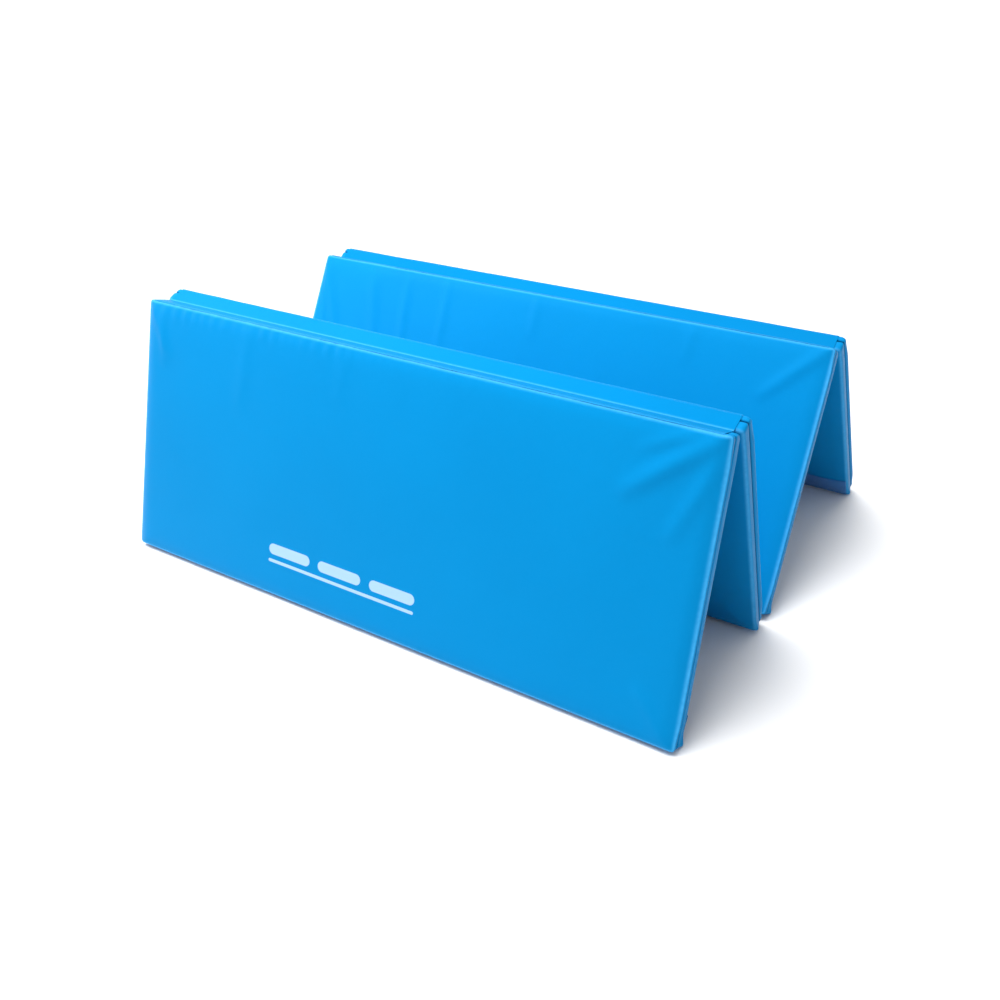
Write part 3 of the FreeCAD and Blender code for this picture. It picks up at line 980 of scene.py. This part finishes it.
def flap_sheet():
    x = np.linspace(-HEM_X, HEM_X, 180)
    g = np.concatenate([np.linspace(-ROOT, ROOT, 7), np.linspace(0.002, FLAP_LONG - 0.002, 14),
                        [FLAP_LONG - 0.001, FLAP_LONG - 0.0003, FLAP_LONG]])
    X, G = np.meshgrid(x, g, indexing="ij")
    corner = np.clip(1 - (HEM_X - np.abs(X)) / FLAP_CORNER, 0, 1)
    cut_back = FLAP_CORNER / FLAP_LONG * (1 - np.sqrt(1 - corner ** 2))
    trimmed = G * (1 - np.where(G > 0, cut_back, 0))
    bead = np.sqrt(np.clip(ROOT ** 2 - np.clip(np.abs(G), 0, ROOT) ** 2, 0, None))
    end = FLAP_EDGE + (FLAP_THICK / 2 - FLAP_EDGE) * np.clip((FLAP_LONG - G) / 0.001, 0, 1)
    half = np.where(G < ROOT, np.maximum(bead, np.where(G > 0, FLAP_THICK / 2, 0.0001)), end)
    middle = flap_wave(X, np.maximum(G, 0))
    points, faces = closed_sheet(flap_place(X, trimmed, middle + half),
                                 flap_place(X, trimmed, middle - half))
    return make_object("flap_sheet", points, faces, vinyl_plain, 50.0, np.zeros(len(points)))


def tape_on_flap():
    x = np.linspace(-TAPE_X, TAPE_X, 160)
    g = np.concatenate([[TAPE_LOW, 0.0104], np.linspace(0.012, 0.044, 9), [0.0456, TAPE_HIGH]])
    X, G = np.meshgrid(x, g, indexing="ij")
    back = FLAP_THICK / 2 + flap_wave(X, G) + 0.00002
    edge = np.clip(np.minimum(G - TAPE_LOW, TAPE_HIGH - G) / 0.0004, 0.4, 1)
    points, faces = closed_sheet(flap_place(X, G, back + TAPE_THICK * edge), flap_place(X, G, back))
    return make_object("hook_base", points, faces, hook_cloth, 50.0)


hook_base = tape_on_flap()
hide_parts("hook_tape")
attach(hook_base, "flap")

flap = flap_sheet()
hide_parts("hook_flap")
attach(flap, "flap")
print("flap made")

# %% [markdown]
# ## Thread, zip teeth and hooks
#
# Stitches, coil teeth and hooks are all the same thing at different sizes: a short bent wire
# repeated along a line. One node tree makes them all. It resamples the lines at a pitch, stands
# a bowed wire on every point, turns it along the line and away from the sheet, and hands back
# plain mesh.

# %% A node tree for rows of bent wire
WIRE_INPUTS = ("Pitch", "Length", "Rise", "Sink", "Thickness", "Spread")


def wire_tree():
    tree = bpy.data.node_groups.new("rows_of_wire", "GeometryNodeTree")
    tree.interface.new_socket("Geometry", in_out="INPUT", socket_type="NodeSocketGeometry")
    for name in WIRE_INPUTS:
        tree.interface.new_socket(name, in_out="INPUT", socket_type="NodeSocketFloat")
    tree.interface.new_socket("Seed", in_out="INPUT", socket_type="NodeSocketInt")
    tree.interface.new_socket("Material", in_out="INPUT", socket_type="NodeSocketMaterial")
    tree.interface.new_socket("Geometry", in_out="OUTPUT", socket_type="NodeSocketGeometry")
    given = tree.nodes.new("NodeGroupInput").outputs

    def add(kind, **settings):
        made = tree.nodes.new(kind)
        for key, value in settings.items():
            setattr(made, key, value)
        return made

    def join(output, socket):
        tree.links.new(output, socket)

    def times(value, factor):
        made = add("ShaderNodeMath", operation="MULTIPLY")
        join(value, made.inputs[0])
        made.inputs[1].default_value = factor
        return made.outputs[0]

    def vector(x=None, z=None):
        made = add("ShaderNodeCombineXYZ")
        for value, socket in ((x, "X"), (z, "Z")):
            if value is not None:
                join(value, made.inputs[socket])
        return made.outputs[0]

    curve = add("GeometryNodeMeshToCurve")
    join(given["Geometry"], curve.inputs["Mesh"])
    points = add("GeometryNodeResampleCurve", mode="LENGTH")
    join(curve.outputs["Curve"], points.inputs["Curve"])
    join(given["Pitch"], points.inputs["Length"])
    bow = add("GeometryNodeCurveQuadraticBezier")
    bow.inputs["Resolution"].default_value = 4
    low = times(given["Sink"], -1.0)
    join(vector(times(given["Length"], -0.5), low), bow.inputs["Start"])
    join(vector(None, times(given["Rise"], 2.0)), bow.inputs["Middle"])
    join(vector(times(given["Length"], 0.5), low), bow.inputs["End"])
    ring = add("GeometryNodeCurvePrimitiveCircle")
    ring.inputs["Resolution"].default_value = 5
    join(times(given["Thickness"], 0.5), ring.inputs["Radius"])
    wire = add("GeometryNodeCurveToMesh")
    join(bow.outputs["Curve"], wire.inputs["Curve"])
    join(ring.outputs["Curve"], wire.inputs["Profile Curve"])
    wire.inputs["Fill Caps"].default_value = True
    turned = None
    for axis, name in (("X", "along"), ("Z", "away")):
        read = add("GeometryNodeInputNamedAttribute", data_type="FLOAT_VECTOR")
        read.inputs["Name"].default_value = name
        align = add("FunctionNodeAlignRotationToVector", axis=axis,
                    pivot_axis="AUTO" if axis == "X" else "X")
        join(read.outputs["Attribute"], align.inputs["Vector"])
        if turned:
            join(turned, align.inputs["Rotation"])
        turned = align.outputs["Rotation"]
    size = add("FunctionNodeRandomValue", data_type="FLOAT")
    low_size = add("ShaderNodeMath", operation="SUBTRACT")
    low_size.inputs[0].default_value = 1.0
    join(given["Spread"], low_size.inputs[1])
    join(low_size.outputs[0], size.inputs[2])
    size.inputs[3].default_value = 1.0
    join(given["Seed"], size.inputs["Seed"])
    stand = add("GeometryNodeInstanceOnPoints")
    join(points.outputs["Curve"], stand.inputs["Points"])
    join(wire.outputs["Mesh"], stand.inputs["Instance"])
    join(turned, stand.inputs["Rotation"])
    join(size.outputs[1], stand.inputs["Scale"])
    real = add("GeometryNodeRealizeInstances")
    join(stand.outputs["Instances"], real.inputs["Geometry"])
    smooth = add("GeometryNodeSetShadeSmooth")
    join(real.outputs["Geometry"], smooth.inputs["Geometry"])
    paint = add("GeometryNodeSetMaterial")
    join(smooth.outputs["Geometry"], paint.inputs["Geometry"])
    join(given["Material"], paint.inputs["Material"])
    join(paint.outputs["Geometry"], tree.nodes.new("NodeGroupOutput").inputs["Geometry"])
    return tree


rows_of_wire = wire_tree()
sockets = {i.name: i.identifier for i in rows_of_wire.interface.items_tree if i.in_out == "INPUT"}
print("node tree inputs:", list(sockets))

# %% [markdown]
# ## Using the tree
#
# A bare line is laid where a row should run, and carries which way the row heads and which way
# is away from the sheet. The tree turns it into wire, and only the finished mesh is kept.

# %% Turn lines into wire
def wires(name, lines, sizes, seed, material, body):
    """lines: list of (points, along, away). Gives one plain mesh that rides on body."""
    points, edges, along, away = [], [], [], []
    for line, direction, out in lines:
        first = len(points)
        points += [tuple(p) for p in line]
        edges += [(first + i, first + i + 1) for i in range(len(line) - 1)]
        along += [np.asarray(direction, float)] * len(line)
        away += [np.asarray(out, float)] * len(line)
    mesh = bpy.data.meshes.new(name + "_lines")
    mesh.from_pydata(points, edges, [])
    for key, values in (("along", along), ("away", away)):
        mesh.attributes.new(key, "FLOAT_VECTOR", "POINT").data.foreach_set(
            "vector", np.array(values, np.float32).ravel())
    carrier = bpy.data.objects.new(name + "_lines", mesh)
    bpy.context.scene.collection.objects.link(carrier)
    modifier = carrier.modifiers.new("rows", "NODES")
    modifier.node_group = rows_of_wire
    for key, value in {**sizes, "Seed": seed, "Material": material}.items():
        modifier[sockets[key]] = value
    evaluated = carrier.evaluated_get(bpy.context.evaluated_depsgraph_get())
    made = bpy.data.objects.new(name, bpy.data.meshes.new_from_object(evaluated))
    made.data.name = name
    for key in ("along", "away"):
        if key in made.data.attributes:
            made.data.attributes.remove(made.data.attributes[key])
    bpy.context.scene.collection.objects.link(made)
    bpy.data.objects.remove(carrier)
    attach(made, body)
    print(f"{name}: {len(made.data.polygons)} faces")


STITCH = {"Pitch": 0.0042, "Length": 0.0031, "Rise": 0.00024, "Sink": 0.00012,
          "Thickness": 0.00052, "Spread": 0.12}
TOOTH = {"Pitch": 0.002, "Length": 0.0040, "Rise": 0.00022, "Sink": 0.00025,
         "Thickness": 0.0008, "Spread": 0.04}
HOOK = {"Pitch": 0.0052, "Length": 0.0014, "Rise": 0.00055, "Sink": 0.0002,
        "Thickness": 0.0003, "Spread": 0.3}
LOOP = {"Pitch": 0.0060, "Length": 0.0016, "Rise": 0.00045, "Sink": 0.0002,
        "Thickness": 0.00028, "Spread": 0.5}
ALONG_X = np.array([1.0, 0.0, 0.0])
ROW_POINTS = 120


def face_row(number, side, u, half_x, lift):
    """A line along x on a cover's face."""
    panel = panels[number]
    x = np.linspace(-half_x, half_x, ROW_POINTS)
    n = face_at(number, side, x, np.full_like(x, u))
    out = panel.inward if side == "inner" else -panel.inward
    n = n + (lift if side == "inner" else -lift)
    return panel.place(np.stack([x, n, np.full_like(x, u)], -1)), ALONG_X, out


def strip_row(number, fold, down, reach):
    """A line of thread along a hinge strip's sewn edge."""
    panel = panels[number]
    x = np.linspace(-STRIP_HALF_X + 0.003, STRIP_HALF_X - 0.003, ROW_POINTS)
    base = (fold + (reach - STITCH_IN) * (-down * panel.inward)
            + (STRIP_TOP + STITCH_SUNK) * (-down * panel.up))
    return base + x[:, None] * ALONG_X, ALONG_X, down * panel.up


# %% [markdown]
# ## Where the rows run
#
# Thread runs along the sewn edge of every hinge strip, beside the zip opening on the left end,
# round the hem and round the hook and loop tapes. The coil teeth run up the middle of the zip.

# %% Make the stitches and zip teeth
ZIP_SEAM_IN = 0.0028    # cut edge beside the zip to its row of stitches


def zip_rows(number):
    panel = panels[number]
    u = np.linspace(ZIP_LOW + 0.004, ZIP_HIGH - 0.004, 30)
    rows = []
    for n in (ZIP_EDGE["outer"] - ZIP_SEAM_IN, ZIP_EDGE["inner"] + ZIP_SEAM_IN):
        line = np.stack([np.full_like(u, -HALF_X), np.full_like(u, n), u], -1)
        rows.append((panel.place(line), panel.up, -ALONG_X))
    return rows


sewn = {number: zip_rows(number) for number in panels}
for a, b, fold, down, reach, _ in strips.values():
    for number in (a, b):
        sewn[number].append(strip_row(number, fold, down, reach))
for u in (0.0128, 0.0225):
    sewn[1].append(face_row(1, "inner", u, HEM_X - 0.004, HEM_THICK))
for u in (0.0115, 0.0558):
    sewn[4].append(face_row(4, "inner", u, HEM_X - 0.004, LOOP_THICK))
for number, rows in sewn.items():
    wires(f"thread_{number}", rows, STITCH, number, thread, f"panel_{number}")


def flap_row(g, half_x):
    """A line along x on the flap's tape."""
    x = np.linspace(-half_x, half_x, 100)
    along_flap = np.full_like(x, g)
    height = FLAP_THICK / 2 + flap_wave(x, along_flap) + TAPE_THICK
    return flap_place(x, along_flap, height), ALONG_X, flap_face


wires("thread_flap", [flap_row(g, TAPE_X - 0.003) for g in (0.0122, 0.0438)],
      STITCH, 9, thread, "flap")
for number, panel in panels.items():
    u = np.linspace(0.030, 0.470, 12)
    line = np.stack([np.full_like(u, -HALF_X - 0.001), np.full_like(u, SEAM), u], -1)
    wires(f"zip_teeth_{number}", [(panel.place(line), panel.inward, -ALONG_X)],
          TOOTH, number, coil_nylon, panel.body)

# %% [markdown]
# ## Hooks and loops
#
# The hook tape is a field of stiff nylon bows, and the loop strip a field of soft ones lying at
# odd angles. Neither needs every hook the real tape has: rows a few millimetres apart already
# read as the rough and the fuzzy side.

# %% Make the hook field and the loop field
hook_rows = [flap_row(g, TAPE_X - 0.006) for g in np.linspace(0.0148, 0.0412, 7)]
wires("hook_field", hook_rows, HOOK, 21, hook_cloth, "flap")
loop_rows = []
loop_rng = np.random.default_rng(33)
for u in np.linspace(0.0155, 0.0515, 8):
    line, _, out = face_row(4, "inner", u, HEM_X - 0.006, 0.0018)
    heading = loop_rng.uniform(-1.2, 1.2)
    loop_rows.append((line, math.cos(heading) * ALONG_X + math.sin(heading) * panels[4].up, out))
wires("loop_field", loop_rows, LOOP, 22, loop_cloth, "panel_4")

# %% [markdown]
# ## Room, light and camera
#
# The mat stands on a plain white floor.

# %% Floor
FLOOR_SIZE = 30.0
floor_mesh = bpy.data.meshes.new("floor")
corners = ((-1, -1), (1, -1), (1, 1), (-1, 1))
floor_points = [(x * FLOOR_SIZE, y * FLOOR_SIZE, 0) for x, y in corners]
floor_mesh.from_pydata(floor_points, [], [(0, 1, 2, 3)])
floor = bpy.data.objects.new("floor", floor_mesh)
bpy.context.scene.collection.objects.link(floor)
floor_paint, _, _ = new_material("floor", (0.92, 0.92, 0.92), roughness=0.9, specular=0.0)
floor_mesh.materials.append(floor_paint)
print("floor laid:", 2 * FLOOR_SIZE, "m square")

# %% [markdown]
# ## Light
#
# Soft studio light: a broad key low on the left, a small fill high over the front panel's left
# part, a narrow one over the gap between the two ridges, and a wide overhead sun that lights the
# strips. The surround is white, stronger overhead and towards the left.

# %% Lights
scene = bpy.context.scene
scene.view_settings.view_transform = "Standard"
SKY_LOW, SKY_HIGH = 0.36, 0.86
SKY_LEFT, SKY_RIGHT = 1.20, 0.55
world = bpy.data.worlds.new("surround")
scene.world = world
world.use_nodes = True
sky = world.node_tree
heading = sky.nodes.new("ShaderNodeTexCoord")
parts = node(sky, "ShaderNodeSeparateXYZ", Vector=heading.outputs["Generated"])
fade = node(sky, "ShaderNodeMapRange", Value=parts.outputs["Z"], From_Min=0.0, From_Max=0.9,
            To_Min=SKY_LOW, To_Max=SKY_HIGH)
turn = node(sky, "ShaderNodeMapRange", Value=parts.outputs["X"], From_Min=-1.0, From_Max=1.0,
            To_Min=SKY_LEFT, To_Max=SKY_RIGHT)
strength = math_node(sky, "MULTIPLY", fade.outputs["Result"], turn.outputs["Result"])
sky.nodes["Background"].inputs["Color"].default_value = (1.0, 1.0, 1.0, 1.0)
sky.links.new(strength, sky.nodes["Background"].inputs["Strength"])


def look_from(obj, place, target):
    """Places a light and turns it to its target."""
    obj.location = place
    obj.rotation_euler = (Vector(target) - Vector(place)).to_track_quat("-Z", "Y").to_euler()


def area_light(name, place, target, size, power):
    data = bpy.data.lights.new(name, "AREA")
    data.shape, data.size, data.size_y, data.energy = "RECTANGLE", size[0], size[1], power
    lamp = bpy.data.objects.new(name, data)
    scene.collection.objects.link(lamp)
    look_from(lamp, place, target)


area_light("key", (-2.1, -1.3, 1.2), (-0.3, -0.3, 0.25), size=(1.0, 0.8), power=9.0)
area_light("left_fill", (-1.05, -0.45, 1.30), (-0.45, 0.05, 0.30), size=(0.5, 0.4), power=7.0)
area_light("gap_fill", (-0.1, -0.42, 1.25), (0.0, 0.06, 0.34), size=(1.3, 0.25), power=7.0)
overhead = bpy.data.lights.new("overhead", "SUN")
overhead.energy, overhead.angle = 2.3, math.radians(30)
overhead_lamp = bpy.data.objects.new("overhead", overhead)
scene.collection.objects.link(overhead_lamp)
look_from(overhead_lamp, (-1.5, -1.7, 9.0), (0, 0, 0))
print("lights:", [light.name for light in bpy.data.lights])

# %% [markdown]
# ## Camera
#
# The view is from the front right, a little above the mat, with a normal lens.

# %% Camera
camera_data = bpy.data.cameras.new("camera")
camera_data.sensor_width = 36.0
camera_data.lens = 35.532
camera_data.shift_x, camera_data.shift_y = -0.0618, -0.0154
camera = bpy.data.objects.new("camera", camera_data)
scene.collection.objects.link(camera)
right = (0.862683, 0.505716, -0.005467)
downward = (0.243325, -0.424506, -0.872117)
forward = (-0.443364, 0.75103, -0.489268)
eye = (1.0215, -1.5121, 1.0992)
camera.matrix_world = Matrix([(r, -d, -f, e) for r, d, f, e in zip(right, downward, forward, eye)]
                             + [(0, 0, 0, 1)])
scene.camera = camera
print("camera lens, mm:", camera_data.lens)
